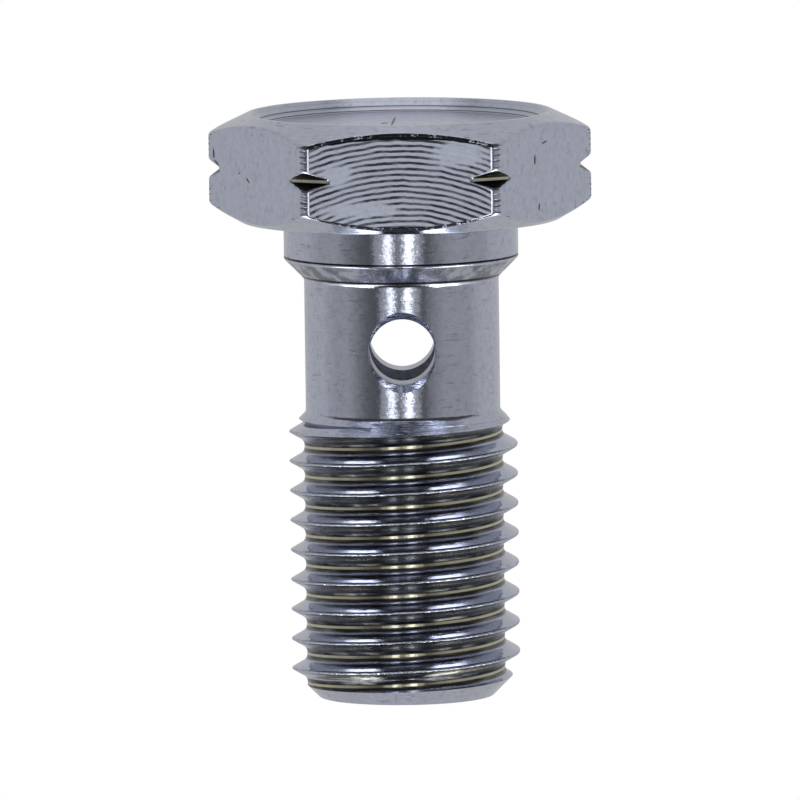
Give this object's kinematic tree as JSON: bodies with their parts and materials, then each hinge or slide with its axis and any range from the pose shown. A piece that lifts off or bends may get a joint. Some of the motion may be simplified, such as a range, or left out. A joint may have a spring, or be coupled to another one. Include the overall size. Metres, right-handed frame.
{
  "type": "banjo bolt",
  "caption": "Hexagon head banjo bolt with a collar, a reduced shank with a cross hole, and a hollow right-hand threaded end.",
  "frame": {"origin": "centre of the flat threaded end face, the lowest point of the standing bolt", "axes": "+Z along the bolt's axis from the threaded end to the head; the cross hole runs along Y, and two flats of the head face +Y and -Y"},
  "size_m": [0.0192, 0.0168, 0.0295],
  "materials": {
    "zinc_plated_steel": "bright zinc plated turned steel, blue passivated"
  },
  "bodies": {
    "root": {"banjo_bolt": "zinc_plated_steel"}
  },
  "joints": []
}
